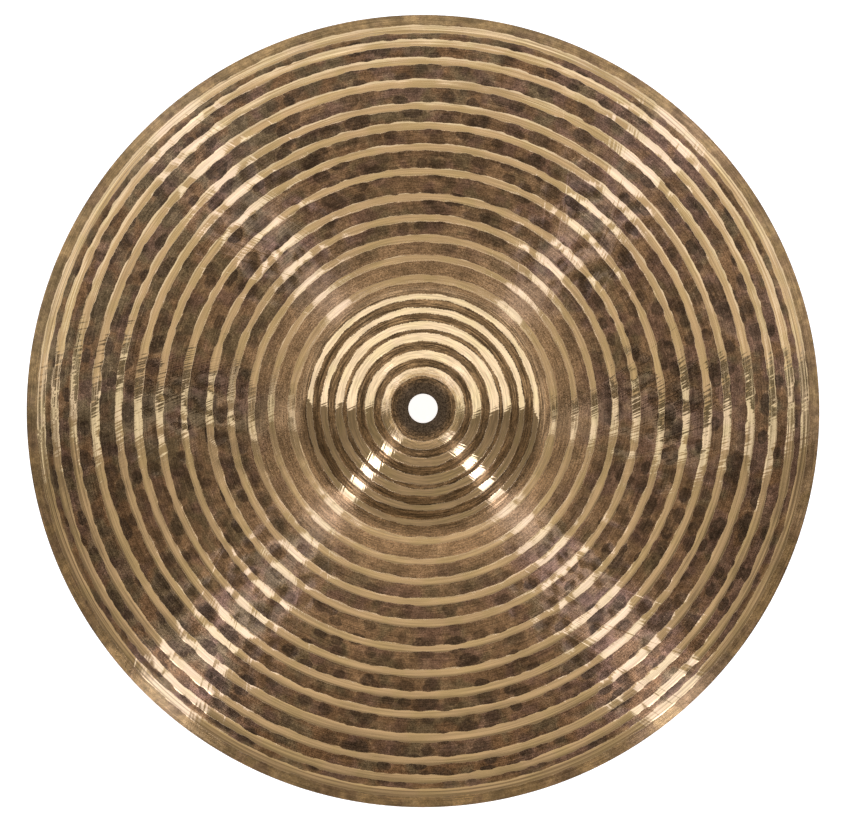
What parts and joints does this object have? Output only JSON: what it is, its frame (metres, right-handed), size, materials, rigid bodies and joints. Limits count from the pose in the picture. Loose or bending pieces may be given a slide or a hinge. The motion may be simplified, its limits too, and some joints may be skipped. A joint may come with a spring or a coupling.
{
  "type": "crash cymbal",
  "caption": "Thin round crash cymbal: a domed bell with a centre hole, a shallow bow and a tapered rim, hammered, with lathe bands cut at intervals.",
  "frame": {"origin": "centre of the plane that the rim rests on, on the cymbal's own axis", "axes": "+Z along the axis, from the rim's plane towards the bell; the disc is round, so X and Y are free"},
  "size_m": [0.3556, 0.3556, 0.0317],
  "materials": {
    "bronze": "cast tin bronze: raw, dark, hand-hammered skin between polished lathe bands"
  },
  "bodies": {
    "root": {"cymbal": "bronze"}
  },
  "joints": []
}
